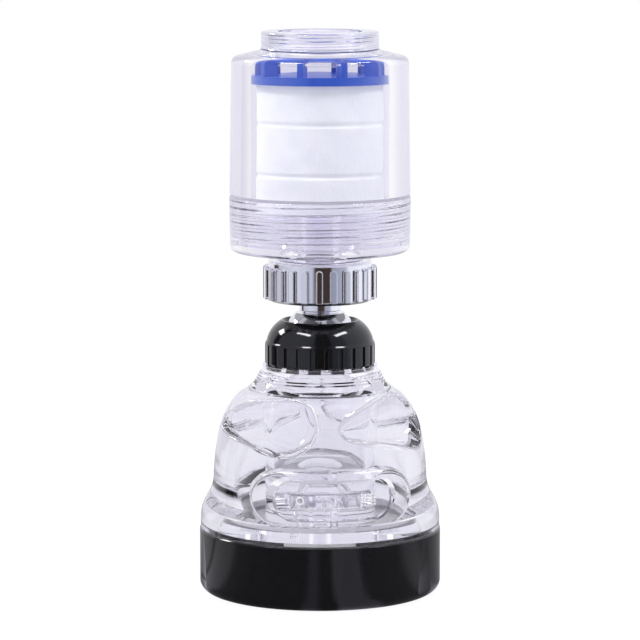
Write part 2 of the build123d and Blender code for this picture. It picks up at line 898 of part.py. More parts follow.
# Clear housing: threaded skirt, thick wall, sloping shoulder, and the inlet neck with its ledge
with BuildPart() as upper_housing:
    with BuildSketch(Plane.XZ):
        shoulder_edge = (
            housing_top_radius - housing_shoulder_inset,
            housing_wall_top + housing_shoulder_rise,
        )
        slope_end = (inlet_radius + inlet_fillet, shoulder_edge[1] + inlet_slope_rise)
        neck_foot = (inlet_radius, slope_end[1] + inlet_fillet)
        with BuildLine():
            Line((housing_radius, housing_bottom), (housing_top_radius, housing_wall_top))
            SagittaArc((housing_top_radius, housing_wall_top), shoulder_edge, -housing_shoulder_swell)
            Line(shoulder_edge, slope_end)
            SagittaArc(slope_end, neck_foot, inlet_hollow)
            Polyline(
                neck_foot,
                (inlet_radius, inlet_top - edge_break),
                (inlet_radius - edge_break, inlet_top),
                (inlet_thread_radius + inlet_edge, inlet_top),
                (inlet_thread_radius, inlet_top - inlet_edge),
                (inlet_thread_radius, groove_top),
                (inlet_groove_radius, groove_top),
                (inlet_groove_radius, gasket_seat),
                (ledge_hole, gasket_seat),
                (ledge_hole, ceiling_level),
                (housing_bore - ceiling_edge, ceiling_level),
                (housing_bore, ceiling_level - ceiling_edge),
                (housing_bore, skirt_end),
                (skirt_thread_radius, skirt_end),
                (skirt_thread_radius, housing_bottom),
                (housing_radius, housing_bottom),
            )
        make_face()
    revolve(axis=Axis.Z)
upper_housing.part.label = "upper_housing"

# Flat gasket at the bottom of the inlet neck
with BuildPart() as inlet_gasket:
    ring(gasket_hole, inlet_groove_radius - turn_gap, gasket_seat, gasket_seat + gasket_thickness)
inlet_gasket.part.label = "inlet_gasket"

# Cartridge: cotton with two shallow grooves, slotted core, and an end cap at each end
cotton_middle = (cotton_bottom + cotton_top) / 2
with BuildPart() as cotton_sleeve:
    ring(core_radius, cotton_radius, cotton_bottom, cotton_top)
    for level in (cotton_middle - cotton_groove_pitch / 2, cotton_middle + cotton_groove_pitch / 2):
        with BuildSketch(Plane.XZ):
            with Locations((cotton_radius, level)):
                RegularPolygon(cotton_groove_depth, 4)
        revolve(axis=Axis.Z, mode=Mode.SUBTRACT)
cotton_sleeve.part.label = "cotton_sleeve"

with BuildPart() as core_tube:
    ring(core_bore, core_radius, cotton_bottom, cotton_top)
    slot_pitch = cotton_height / core_slot_rows
    for row in range(core_slot_rows):
        with BuildSketch(Plane.XZ.offset(-core_radius - overshoot)):
            with Locations((0, cotton_bottom + (row + 0.5) * slot_pitch)):
                Rectangle(core_slot_width, core_slot_height)
        extrude(amount=2 * (core_radius + overshoot), mode=Mode.SUBTRACT)
        with BuildSketch(Plane.YZ.offset(-core_radius - overshoot)):
            with Locations((0, cotton_bottom + (row + 0.5) * slot_pitch)):
                Rectangle(core_slot_width, core_slot_height)
        extrude(amount=2 * (core_radius + overshoot), mode=Mode.SUBTRACT)
core_tube.part.label = "core_tube"

with BuildPart() as cartridge_top_cap:
    ring(0, top_cap_radius, cotton_top, top_cap_top)
    ring(0, core_bore - turn_gap, cotton_top - end_cap_thickness, cotton_top)
    with BuildSketch(Plane.XY.offset(top_cap_top)):
        with PolarLocations((fin_inner + fin_outer) / 2, fin_count, start_angle=fin_angle - 90):
            Rectangle(fin_outer - fin_inner, fin_width)
    extrude(amount=fin_height)
cartridge_top_cap.part.label = "cartridge_top_cap"

with BuildPart() as cartridge_bottom_cap:
    ring(nozzle_bore, top_cap_radius, bottom_cap_level, cotton_bottom)
    ring(nozzle_bore, core_bore - turn_gap, cotton_bottom, cotton_bottom + end_cap_thickness)
    ring(nozzle_bore, cartridge_foot_radius, foot_bottom, bottom_cap_level)
    ring(nozzle_bore, nozzle_radius, nozzle_end, foot_bottom)
    groove_level = (nozzle_end + foot_bottom) / 2
    ring(
        nozzle_radius - nozzle_groove_depth,
        nozzle_radius + overshoot,
        groove_level - nozzle_groove_width / 2,
        groove_level + nozzle_groove_width / 2,
        Mode.SUBTRACT,
    )
cartridge_bottom_cap.part.label = "cartridge_bottom_cap"

# Ring on the cartridge's nozzle, a little proud of it inside the cap's bore
with BuildPart() as cartridge_seal:
    seal_half = (nozzle_groove_depth + turn_gap) / 2
    with BuildSketch(Plane.XZ):
        with Locations((nozzle_radius - nozzle_groove_depth + seal_half, groove_level)):
            Circle(seal_half)
    revolve(axis=Axis.Z)
cartridge_seal.part.label = "cartridge_seal"

pieces = (
    base_ring,
    spray_plate,
    plate_seal,
    aerator_housing,
    aerator_mesh,
    aerator_disc,
    spray_body,
    mode_rocker,
    valve_body,
    tube_seal,
    chamber_seal,
    diverter_spool,
    spool_seals,
    ball_seal,
    ball_seat,
    ball_stem,
    ball_collar,
    union_nut,
    union_washer,
    lower_cap,
    cap_seal,
    upper_housing,
    inlet_gasket,
    cotton_sleeve,
    core_tube,
    cartridge_top_cap,
    cartridge_bottom_cap,
    cartridge_seal,
)
os.makedirs("parts", exist_ok=True)
for piece in pieces:
    export_step(piece.part, f"parts/{piece.part.label}.step")
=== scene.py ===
import math

import bmesh
import bpy
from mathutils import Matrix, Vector, noise


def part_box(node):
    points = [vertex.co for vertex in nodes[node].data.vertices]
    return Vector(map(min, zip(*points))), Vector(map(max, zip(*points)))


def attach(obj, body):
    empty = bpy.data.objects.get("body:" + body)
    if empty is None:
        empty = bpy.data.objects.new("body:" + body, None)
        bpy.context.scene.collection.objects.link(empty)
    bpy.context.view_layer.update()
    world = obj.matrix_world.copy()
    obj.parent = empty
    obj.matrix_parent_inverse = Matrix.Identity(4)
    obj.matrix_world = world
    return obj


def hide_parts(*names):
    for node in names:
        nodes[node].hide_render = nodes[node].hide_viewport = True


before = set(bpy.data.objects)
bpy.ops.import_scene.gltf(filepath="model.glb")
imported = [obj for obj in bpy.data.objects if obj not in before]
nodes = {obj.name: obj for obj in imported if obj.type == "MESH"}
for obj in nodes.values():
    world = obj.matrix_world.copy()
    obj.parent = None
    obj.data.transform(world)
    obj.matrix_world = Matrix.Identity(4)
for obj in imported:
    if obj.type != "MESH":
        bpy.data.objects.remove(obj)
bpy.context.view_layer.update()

MM = 0.001
MM_IN_METRE = 1000


def box_mm(name):
    """The lower and the upper corner of a node's box, in millimetres."""
    return [corner * MM_IN_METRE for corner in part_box(name)]


def add_object(name, data):
    item = bpy.data.objects.new(name, data)
    bpy.context.scene.collection.objects.link(item)
    return item


# Helpers for node trees


def feed(tree, socket, value):
    """Links a socket to another node's output, or sets it to a number or a colour."""
    if isinstance(value, bpy.types.NodeSocket):
        tree.links.new(value, socket)
    elif socket.type == "RGBA":
        socket.default_value = (*value, 1)
    else:
        socket.default_value = value


def add_node(tree, kind, inputs, **settings):
    """A new node with its settings; inputs holds values or outputs by the name or number of the socket."""
    node = tree.nodes.new(kind)
    for key, value in settings.items():
        setattr(node, key, value)
    for key, value in inputs.items():
        feed(tree, node.inputs[key], value)
    return node


def calculate(tree, operation, *values):
    return add_node(tree, "ShaderNodeMath", dict(enumerate(values)), operation=operation).outputs[0]


def colour_mix(tree, share, under, over):
    """The second colour where the share is 1, and the first where it is 0."""
    node = tree.nodes.new("ShaderNodeMix")
    node.data_type = "RGBA"
    sockets = {socket.identifier: socket for socket in node.inputs}
    feed(tree, sockets["Factor_Float"], share)
    feed(tree, sockets["A_Color"], under)
    feed(tree, sockets["B_Color"], over)
    return next(socket for socket in node.outputs if socket.identifier == "Result_Color")


def ramp(tree, field, stops):
    """Maps a field to colours, or to greys where a stop is a number."""
    node = add_node(tree, "ShaderNodeValToRGB", {"Fac": field})
    elements = node.color_ramp.elements
    while len(elements) < len(stops):
        elements.new(0.5)
    for element, (place, colour) in zip(elements, stops):
        element.position = place
        element.color = (*colour, 1) if isinstance(colour, tuple) else (colour, colour, colour, 1)
    return node.outputs["Color"]


def noise_field(tree, scale, detail=3.0, stretch=(1, 1, 1)):
    """A noise pattern fixed to the object, in metres, with its own stretch along each axis."""
    place = tree.nodes.new("ShaderNodeTexCoord").outputs["Object"]
    mapping = add_node(tree, "ShaderNodeMapping", {"Vector": place, "Scale": stretch})
    pattern = {"Vector": mapping.outputs["Vector"], "Scale": scale, "Detail": detail}
    return add_node(tree, "ShaderNodeTexNoise", pattern).outputs["Fac"]


def bump(tree, field, height, strength=1.0, under=None):
    """Relief of a height in metres; under is the relief that it lies on."""
    inputs = {"Height": field, "Distance": height, "Strength": strength}
    if under is not None:
        inputs["Normal"] = under
    return add_node(tree, "ShaderNodeBump", inputs).outputs["Normal"]


# Materials


def new_material(name, **sockets):
    """A node material with one shader; returns the material, its tree and its shader node."""
    material = bpy.data.materials.new(name)
    material.use_nodes = True
    shader = material.node_tree.nodes["Principled BSDF"]
    for socket, value in sockets.items():
        feed(material.node_tree, shader.inputs[socket.replace("_", " ")], value)
    return material, material.node_tree, shader


clear_roughness = 0.015
clear_index = 1.5
wave_scale = 140.0
wave_height = 0.00004
shadow_pass = 0.97

# Painted light: the clear plastic glows in these colours for a ray that has bounced inside it more often
# than is followed
filter_deep_light = (0.29, 0.285, 0.34)
head_deep_light = (0.33, 0.325, 0.37)
deepest = {"Glossy Depth": 3.5, "Transmission Depth": 11.5, "Ray Depth": 11.5}


def clear_plastic(name, tint, brighter, deep_light):
    """Polished clear moulding: light passes to what is inside, with the faint waves of a mould; past the
    bounce limits it glows with painted light in the deep_light colour.
    """
    material, tree, shader = new_material(
        name,
        Roughness=clear_roughness,
        IOR=clear_index,
        Transmission_Weight=1.0,
        Emission_Color=deep_light,
    )
    waves = noise_field(tree, wave_scale, 1.0)
    feed(tree, shader.inputs["Base Color"], ramp(tree, waves, ((0.3, tint), (0.75, brighter))))
    feed(tree, shader.inputs["Normal"], bump(tree, waves, wave_height))
    ray = tree.nodes.new("ShaderNodeLightPath").outputs
    passing = calculate(tree, "MAXIMUM", ray["Is Shadow Ray"], ray["Is Diffuse Ray"])
    feed(tree, shader.inputs["Alpha"], calculate(tree, "MULTIPLY_ADD", passing, -shadow_pass, 1.0))
    too_deep = 0.0
    for depth, limit in deepest.items():
        past = calculate(tree, "GREATER_THAN", ray[depth], limit)
        too_deep = calculate(tree, "MAXIMUM", past, too_deep)
    feed(tree, shader.inputs["Emission Strength"], too_deep)
    return material


filter_clear = clear_plastic(
    "filter_clear", (0.955, 0.948, 0.985), (0.965, 0.957, 0.99), filter_deep_light
)
head_clear = clear_plastic(
    "head_clear", (0.965, 0.962, 0.982), (0.975, 0.97, 0.99), head_deep_light
)

bevel_samples = 6
spot_scale = 900.0
black_edge = 0.0003
chrome_edge = 0.00035


def eased_edges(tree, radius):
    """The surface's direction with its sharp edges rounded to a radius in metres."""
    return add_node(tree, "ShaderNodeBevel", {"Radius": radius}, samples=bevel_samples).outputs["Normal"]


def grained_plastic(name, low, high, roughness, grain=0.00001, edge=0.0):
    """A moulded plastic or rubber whose colour and relief vary a little in fine spots."""
    material, tree, shader = new_material(name, Roughness=roughness)
    spots = noise_field(tree, spot_scale)
    feed(tree, shader.inputs["Base Color"], ramp(tree, spots, ((0.3, low), (0.7, high))))
    under = eased_edges(tree, edge) if edge else None
    feed(tree, shader.inputs["Normal"], bump(tree, spots, grain, under=under))
    return material


black_gloss = grained_plastic(
    "black_gloss", (0.004, 0.004, 0.005), (0.006, 0.006, 0.007), 0.08, edge=black_edge
)
blue_plastic = grained_plastic("blue_plastic", (0.0, 0.06, 0.46), (0.0, 0.072, 0.54), 0.28)
white_plastic = grained_plastic("white_plastic", (0.78, 0.78, 0.80), (0.84, 0.84, 0.86), 0.35)
rubber = grained_plastic("rubber", (0.012, 0.012, 0.013), (0.022, 0.022, 0.024), 0.6)
pale_seal = grained_plastic("pale_seal", (0.62, 0.60, 0.68), (0.70, 0.68, 0.76), 0.4)
# The cap's seal in a darker copy of the pale seal's colour: painted shade for the dark line of the gap at
# the seam
shaded_seam_seal = grained_plastic("shaded_seam_seal", (0.42, 0.40, 0.50), (0.50, 0.48, 0.58), 0.4)
steel_mesh = grained_plastic("steel_mesh", (0.45, 0.45, 0.46), (0.60, 0.60, 0.61), 0.35)

smear_scale = 260.0
chrome, chrome_tree, chrome_shader = new_material(
    "chrome", Base_Color=(0.90, 0.90, 0.92), Metallic=1.0
)
smears = noise_field(chrome_tree, smear_scale, 4.0)
smeared = ramp(chrome_tree, smears, ((0.3, 0.04), (0.75, 0.10)))
feed(chrome_tree, chrome_shader.inputs["Roughness"], smeared)
feed(chrome_tree, chrome_shader.inputs["Normal"], eased_edges(chrome_tree, chrome_edge))

fibre_scale = 1500.0
fibre_stretch = (1, 1, 0.25)
fibre_height = 0.00012
fibre_strength = 0.6
clump_scale = 220.0
clump_height = 0.0003
cotton, cotton_tree, cotton_shader = new_material(
    "cotton", Roughness=0.95, Sheen_Weight=0.4, Sheen_Roughness=0.6
)
fibres = noise_field(cotton_tree, fibre_scale, 5.0, fibre_stretch)
clumps = noise_field(cotton_tree, clump_scale, 4.0)
cotton_white = ramp(cotton_tree, clumps, ((0.3, (0.84, 0.85, 0.93)), (0.7, (0.90, 0.905, 0.97))))
feed(cotton_tree, cotton_shader.inputs["Base Color"], cotton_white)
clumped = bump(cotton_tree, clumps, clump_height)
woolly = bump(cotton_tree, fibres, fibre_height, fibre_strength, clumped)
feed(cotton_tree, cotton_shader.inputs["Normal"], woolly)


def dress(material, *names):
    """Gives CAD pieces a material."""
    for name in names:
        mesh = nodes[name].data
        mesh.materials.clear()
        mesh.materials.append(material)


dress(filter_clear, "upper_housing", "lower_cap", "cartridge_bottom_cap")
dress(head_clear, "spray_body", "mode_rocker", "valve_body", "diverter_spool")
dress(black_gloss, "ball_collar", "base_ring")
dress(blue_plastic, "cartridge_top_cap")
dress(cotton, "cotton_sleeve")
dress(white_plastic, "core_tube", "ball_seat", "spray_plate", "aerator_housing", "aerator_disc")
dress(chrome, "union_nut", "ball_stem")
dress(rubber, "union_washer", "ball_seal", "plate_seal")
# The seam's seal takes the darker colour of painted shade
dress(shaded_seam_seal, "cap_seal")
dress(pale_seal, "inlet_gasket", "cartridge_seal")
dress(pale_seal, "tube_seal", "chamber_seal", "spool_seals")
dress(steel_mesh, "aerator_mesh")

# Pieces turned about the axis, with what a lathe or a mould leaves on them

thread_fade = 0.8
relief_pitch = 0.14
lump_turn = 2.2
lump_rise = 0.16
lump_middle = 0.6
corner_steps = 4
corner_share = 0.4
merge_distance = 0.000002
sharp_angle = math.radians(60)
housing_segments = 192
cotton_segments = 160


def smooth_step(value, low, high):
    """Goes softly from 0 at the low value to 1 at the high one."""
    share = min(1.0, max(0.0, (value - low) / (high - low)))
    return share * share * (3 - 2 * share)


class Thread:
    """A right-hand thread on a turned wall: ridges of a depth at a pitch, faded out at both ends."""

    def __init__(self, pitch, depth, low, high):
        self.pitch = pitch
        self.depth = depth
        self.low = low
        self.high = high

    def change(self, level, angle):
        place = (level - self.low) / self.pitch - angle / (2 * math.pi)
        rise = 0.5 - 0.5 * math.cos(2 * math.pi * place)
        foot = smooth_step(level, self.low, self.low + thread_fade)
        return self.depth * rise * foot * smooth_step(self.high - level, 0, thread_fade)


class Wound:
    """The wall of the wound cotton: soft grooves at some levels, and shallow lumps."""

    def __init__(self, levels, depth, half_width, lumps):
        self.levels = levels
        self.depth = depth
        self.half_width = half_width
        self.lumps = lumps

    def change(self, level, angle):
        groove = max(1 - smooth_step(abs(level - middle), 0, self.half_width) for middle in self.levels)
        across = Vector((math.cos(angle), math.sin(angle), 0)) * lump_turn
        lump = noise.noise(across + Vector((0, 0, level * lump_rise))) - lump_middle
        return self.lumps * lump - self.depth * groove


def curve(start, end, bulge, steps=10):
    """Points after start along a shallow arc to end; a positive bulge swells to the right of the way."""
    run = Vector(end) - Vector(start)
    side = Vector((run.y, -run.x)).normalized()
    points = []
    for index in range(1, steps + 1):
        share = index / steps
        points.append(tuple(Vector(start) + run * share + side * bulge * 4 * share * (1 - share)))
    return points


def softened(loop, radius, least=22):
    """The closed section with each sharp corner eased by a small arc, as a mould leaves it."""
    result = []
    count = len(loop)
    for index, (across, level, *wall_form) in enumerate(loop):
        corner = Vector((across, level))
        before = Vector(loop[index - 1][:2]) - corner
        after = Vector(loop[(index + 1) % count][:2]) - corner
        if 180 - math.degrees(before.angle(after)) < least:
            result.append(loop[index])
            continue
        reach = min(radius, before.length * corner_share, after.length * corner_share)
        first = corner + before.normalized() * reach
        last = corner + after.normalized() * reach
        for step in range(corner_steps + 1):
            share = step / corner_steps
            middle = first.lerp(corner, share).lerp(corner.lerp(last, share), share)
            result.append((middle.x, middle.y, *wall_form))
    return result


def wall(radius, low, high, form, pitch=relief_pitch):
    """A straight wall from one level to another, with points close enough for its relief."""
    count = max(2, int(abs(high - low) / pitch))
    return [(radius, low + (high - low) * index / count, form) for index in range(count + 1)]


def new_piece(name, mesh, material, body, slot, *replaced):
    """An object of a mesh in metres that rides on a body and stands for the nodes it replaces."""
    mesh.materials.clear()
    mesh.materials.append(material)
    piece = add_object(name, mesh)
    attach(piece, body)
    if replaced:
        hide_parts(*replaced)


def turned_mesh(name, loop, segments):
    """A closed section in millimetres turned about the axis; a point may carry the form of its wall."""
    mesh = bpy.data.meshes.new(name)
    vertices = []
    for turn in range(segments):
        angle = 2 * math.pi * turn / segments
        for radius, level, *wall_form in loop:
            if wall_form:
                radius += wall_form[0].change(level, angle)
            vertices.append((radius * MM * math.cos(angle), radius * MM * math.sin(angle), level * MM))
    count = len(loop)
    faces = []
    for turn in range(segments):
        here = turn * count
        there = (turn + 1) % segments * count
        for index in range(count):
            following = (index + 1) % count
            faces.append((here + index, here + following, there + following, there + index))
    mesh.from_pydata(vertices, [], faces)
    build = bmesh.new()
    build.from_mesh(mesh)
    bmesh.ops.remove_doubles(build, verts=build.verts, dist=merge_distance)
    bmesh.ops.recalc_face_normals(build, faces=build.faces)
    for face in build.faces:
        face.smooth = True
    build.to_mesh(mesh)
    build.free()
    mesh.set_sharp_from_angle(angle=sharp_angle)
    return mesh


housing_low, housing_high = box_mm("upper_housing")
cap_low, cap_high = box_mm("lower_cap")
seal_low, seal_high = box_mm("cap_seal")
gasket_low, gasket_high = box_mm("inlet_gasket")
sleeve_low, sleeve_high = box_mm("cotton_sleeve")
top_cap_radius = box_mm("cartridge_top_cap")[1].x
core_radius = box_mm("core_tube")[1].x
nut_top = box_mm("union_nut")[1].z

skirt_end = housing_low.z
inlet_top = housing_high.z
housing_radius = housing_high.x
seam_low = seal_low.z
seam_high = seal_high.z
gasket_seat = gasket_low.z

cap_wall = 1.9
cap_thread_radius = cap_high.x - cap_wall
cap_thread_depth = 0.45
cap_thread_pitch = 1.8
skirt_thread_depth = 0.22
thread_gap = 0.08
thread_end = 0.05
thread_foot = skirt_end - thread_fade
thread_top = seam_low - thread_end
cartridge_gap = 0.3
housing_bore = top_cap_radius + cartridge_gap
housing_taper = 0.5
inlet_height = 8.4
housing_top_radius = housing_radius - housing_taper
wall_top = inlet_top - inlet_height
shoulder_inset = 1.8
shoulder_rise = 2.3
shoulder_bulge = 0.6
shoulder_edge = (housing_top_radius - shoulder_inset, wall_top + shoulder_rise)
slope_radius = 16.2
slope_rise = 1.2
slope_end = (slope_radius, shoulder_edge[1] + slope_rise)
neck_radius = 15.1
neck_rise = 1.1
neck_hollow = -0.32
neck_foot = (neck_radius, slope_end[1] + neck_rise)
neck_edge = 0.4
inlet_bore = 10.46
inlet_chamfer = 0.6
inlet_pitch = 1.0
inlet_thread_depth = 0.25
inlet_thread_height = 4.3
gasket_gap = 0.1
groove_radius = gasket_high.x + gasket_gap
groove_top = inlet_top - inlet_thread_height
ledge_hole = 7.5
ledge_thickness = 1.5
ceiling = gasket_seat - ledge_thickness
ceiling_edge = 0.4
housing_ease = 0.25

skirt_radius = cap_thread_radius - cap_thread_depth - thread_gap
cap_thread = Thread(cap_thread_pitch, -cap_thread_depth, thread_foot, thread_top)
skirt_thread = Thread(cap_thread_pitch, -skirt_thread_depth, thread_foot, thread_top)
inlet_thread = Thread(inlet_pitch, inlet_thread_depth, groove_top, inlet_top - inlet_chamfer)

housing_loop = [
    (housing_radius, seam_high),
    (housing_top_radius, wall_top),
    *curve((housing_top_radius, wall_top), shoulder_edge, shoulder_bulge),
    slope_end,
    *curve(slope_end, neck_foot, neck_hollow, 6),
    (neck_radius, inlet_top - neck_edge),
    (neck_radius - neck_edge, inlet_top),
    (inlet_bore + inlet_chamfer, inlet_top),
    *wall(inlet_bore, inlet_top - inlet_chamfer, groove_top, inlet_thread),
    (groove_radius, groove_top),
    (groove_radius, gasket_seat),
    (ledge_hole, gasket_seat),
    (ledge_hole, ceiling),
    (housing_bore - ceiling_edge, ceiling),
    (housing_bore, ceiling - ceiling_edge),
    (housing_bore, skirt_end),
    *wall(skirt_radius, skirt_end, seam_low - thread_gap, skirt_thread),
    (cap_thread_radius - thread_gap, seam_low),
    (cap_thread_radius - thread_gap, seam_high),
]
new_piece(
    "threaded_housing",
    turned_mesh("threaded_housing", softened(housing_loop, housing_ease), housing_segments),
    filter_clear,
    "housing",
    "clear_plastic",
    "upper_housing",
)


def union(mesh, extra):
    """One closed mesh out of two that overlap."""
    pieces = [add_object("joining", part) for part in (mesh, extra)]
    joint = pieces[0].modifiers.new("joint", "BOOLEAN")
    joint.operation = "UNION"
    joint.solver = "MANIFOLD"
    joint.object = pieces[1]
    evaluated = pieces[0].evaluated_get(bpy.context.evaluated_depsgraph_get())
    result = bpy.data.meshes.new_from_object(evaluated)
    for piece in pieces:
        bpy.data.objects.remove(piece)
    for polygon in result.polygons:
        polygon.use_smooth = True
    result.set_sharp_from_angle(angle=sharp_angle)
    return result


def floor_ribs(count, first_angle, inner, outer, width, low, high):
    """Straight ribs that run out from the middle, as one mesh of closed bars."""
    mesh = bpy.data.meshes.new("ribs")
    build = bmesh.new()
    for index in range(count):
        angle = math.radians(first_angle + 360 / count * index)
        along = Vector((math.cos(angle), math.sin(angle), 0))
        aside = Vector((-along.y, along.x, 0))
        bar = bmesh.ops.create_cube(build, size=1)["verts"]
        for corner in bar:
            run = inner + (corner.co.x + 0.5) * (outer - inner)
            place = along * run + aside * corner.co.y * width
            place.z = low + (corner.co.z + 0.5) * (high - low)
            corner.co = place * MM
    build.to_mesh(mesh)
    build.free()
    return mesh


cap_lift = 2.2
cap_bottom = nut_top + cap_lift
cap_floor = 2.5
cap_floor_top = cap_bottom + cap_floor
cap_taper = 0.2
cap_radius = cap_high.x - cap_taper
cap_corner = 1.3
cap_corner_bulge = 0.27
cap_edge = 0.4
cap_ease = 0.2
boss_radius = 13.0
boss_height = 1.2
boss_level = cap_bottom - boss_height
spigot_radius = 11.0
spigot_end = cap_low.z
washer_hole = 4.6
outlet_bore = 7.0
nozzle_gap = 0.2
outlet_step = box_mm("cartridge_bottom_cap")[0].z - nozzle_gap
rib_count = 8
rib_first = -76
rib_inner = 9.2
rib_width = 1.0
rib_height = 1.2
rib_sink = 0.5
rib_overlap = 0.2
cap_loop = [
    (cap_radius, cap_bottom + cap_corner),
    (cap_high.x, cap_high.z),
    (cap_thread_radius + cap_edge, cap_high.z),
    *wall(cap_thread_radius, cap_high.z - cap_edge, cap_floor_top, cap_thread),
    (outlet_bore, cap_floor_top),
    (outlet_bore, outlet_step),
    (washer_hole, outlet_step),
    (washer_hole, spigot_end),
    (spigot_radius - cap_edge, spigot_end),
    (spigot_radius, spigot_end + cap_edge),
    (spigot_radius, boss_level),
    (boss_radius, boss_level),
    (boss_radius, cap_bottom),
    (cap_radius - cap_corner, cap_bottom),
    *curve(
        (cap_radius - cap_corner, cap_bottom),
        (cap_radius, cap_bottom + cap_corner),
        cap_corner_bulge,
        6,
    )[:-1],
]
cap_ribs = floor_ribs(
    rib_count,
    rib_first,
    rib_inner,
    cap_thread_radius + rib_overlap,
    rib_width,
    cap_floor_top - rib_sink,
    cap_floor_top + rib_height,
)
new_piece(
    "threaded_cap",
    union(turned_mesh("threaded_cap", softened(cap_loop, cap_ease), housing_segments), cap_ribs),
    filter_clear,
    "filter_cap",
    "clear_plastic",
    "lower_cap",
)

# Wound cotton between the end caps
groove_pitch = 12.9
groove_depth = 0.4
groove_half_width = 0.9
lump_depth = 0.25
sleeve_middle = (sleeve_low.z + sleeve_high.z) / 2
groove_levels = (sleeve_middle - groove_pitch / 2, sleeve_middle + groove_pitch / 2)
winding = Wound(groove_levels, groove_depth, groove_half_width, lump_depth)
sleeve_gap = 0.05
sleeve_foot = sleeve_low.z + sleeve_gap
sleeve_top = sleeve_high.z - sleeve_gap
sleeve_pitch = 0.2
sleeve_loop = [
    (core_radius + sleeve_gap, sleeve_top),
    (core_radius + sleeve_gap, sleeve_foot),
    *wall(sleeve_high.x, sleeve_foot, sleeve_top, winding, sleeve_pitch),
]
new_piece(
    "wound_cotton",
    turned_mesh("wound_cotton", sleeve_loop, cotton_segments),
    cotton,
    "cartridge",
    "cotton",
    "cotton_sleeve",
)

# Moulded marks on the rocker's bar: a field of dots on the side of the shower, a ring on the other
rocker_low, rocker_high = box_mm("mode_rocker")
bar_radius = -rocker_low.y
bar_level = (rocker_low.z + rocker_high.z) / 2
mark_lift = 0.01
mark_steps = 12
mark_place = 8.7
mark_merge = 0.0000005
mark_least_edge = 0.0000001
mark_sharp_angle = math.radians(50)
dot_pitch = 0.85
dot_columns = 5
dot_rows = 4
dot = ((0, 0.2), (0.16, 0.17), (0.27, 0.09), (0.32, 0), (0, 0))
ring_mark = ((0.72, 0), (0.78, 0.12), (0.9, 0.18), (1.02, 0.12), (1.08, 0))


def on_bar(across, level):
    """A place on the bar's round face, and the way out from it."""
    angle = math.asin(across / bar_radius)
    out = Vector((math.sin(angle), -math.cos(angle), 0))
    return (out * (bar_radius + mark_lift) + Vector((0, 0, level))) * MM, out


def add_round(build, across, level, section):
    """A small raised form on the bar, turned from points of radius and height off the face."""
    middle, out = on_bar(across, level)
    aside = Vector((-out.y, out.x, 0))
    up = Vector((0, 0, 1))
    rings = []
    for radius, height in section:
        ring = []
        for step in range(mark_steps):
            turn = 2 * math.pi * step / mark_steps
            spread = aside * math.cos(turn) + up * math.sin(turn)
            ring.append(build.verts.new(middle + (spread * radius + out * height) * MM))
        rings.append(ring)
    for inner, outer in zip(rings, rings[1:] + rings[:1]):
        for step in range(mark_steps):
            following = (step + 1) % mark_steps
            build.faces.new((inner[step], inner[following], outer[following], outer[step]))


def mark_piece(name, forms):
    """One piece of raised forms, each with its place across the bar, its level and its section."""
    mesh = bpy.data.meshes.new(name)
    build = bmesh.new()
    for across, level, section in forms:
        add_round(build, across, level, section)
    bmesh.ops.remove_doubles(build, verts=build.verts, dist=mark_merge)
    bmesh.ops.dissolve_degenerate(build, edges=build.edges, dist=mark_least_edge)
    bmesh.ops.recalc_face_normals(build, faces=build.faces)
    for face in build.faces:
        face.smooth = True
    build.to_mesh(mesh)
    build.free()
    mesh.set_sharp_from_angle(angle=mark_sharp_angle)
    new_piece(name, mesh, white_plastic, "mode_rocker", "clear_plastic")


dots = []
for column in range(dot_columns):
    across = mark_place + (column - (dot_columns - 1) / 2) * dot_pitch
    for row in range(dot_rows):
        dots.append((across, bar_level + (row - (dot_rows - 1) / 2) * dot_pitch, dot))
mark_piece("shower_dots", dots)
mark_piece("stream_ring", [(-mark_place, bar_level, ring_mark)])

# Studio round the object, by compass angle from the front, counted towards +X


def compass_turn(tree, place):
    """Share of a full turn of a direction or place, 0.5 at the front."""
    split = add_node(tree, "ShaderNodeSeparateXYZ", {0: place}).outputs
    angle = calculate(tree, "ARCTAN2", split["X"], calculate(tree, "MULTIPLY", split["Y"], -1.0))
    return calculate(tree, "MULTIPLY_ADD", angle, 1 / (2 * math.pi), 0.5)


def compass_colours(tree, turn, stops):
    """Colours by compass angle in degrees, from behind round the left side to behind again."""
    return ramp(tree, turn, [(degrees / 360 + 0.5, colour) for degrees, colour in stops])


studio_for_matt = (
    (-180, (0.56, 0.56, 0.57)),
    (-80, (0.72, 0.72, 0.72)),
    (80, (0.50, 0.51, 0.55)),
    (180, (0.56, 0.56, 0.57)),
)
studio_for_metal = (
    (-180, (0.90, 0.90, 0.94)),
    (-130, (0.80, 0.80, 0.85)),
    (-124, (0.05, 0.045, 0.05)),
    (-113, (0.05, 0.045, 0.05)),
    (-108, (0.50, 0.51, 0.60)),
    (-60, (0.66, 0.67, 0.78)),
    (-24, (0.50, 0.52, 0.64)),
    (-17, (0.05, 0.035, 0.03)),
    (15, (0.05, 0.035, 0.03)),
    (21, (0.30, 0.32, 0.42)),
    (50, (0.42, 0.44, 0.54)),
    (60, (0.80, 0.82, 0.92)),
    (92, (0.88, 0.90, 1.0)),
    (180, (0.90, 0.90, 0.94)),
)
studio_for_glass = (
    (-180, (0.80, 0.79, 0.87)),
    (-148, (0.82, 0.81, 0.89)),
    (-120, (1.0, 1.0, 1.0)),
    (-60, (1.0, 1.0, 1.0)),
    (-30, (0.54, 0.54, 0.62)),
    (30, (0.54, 0.54, 0.62)),
    (60, (0.95, 0.95, 1.0)),
    (120, (1.0, 1.0, 1.0)),
    (148, (0.82, 0.81, 0.89)),
    (180, (0.80, 0.79, 0.87)),
)
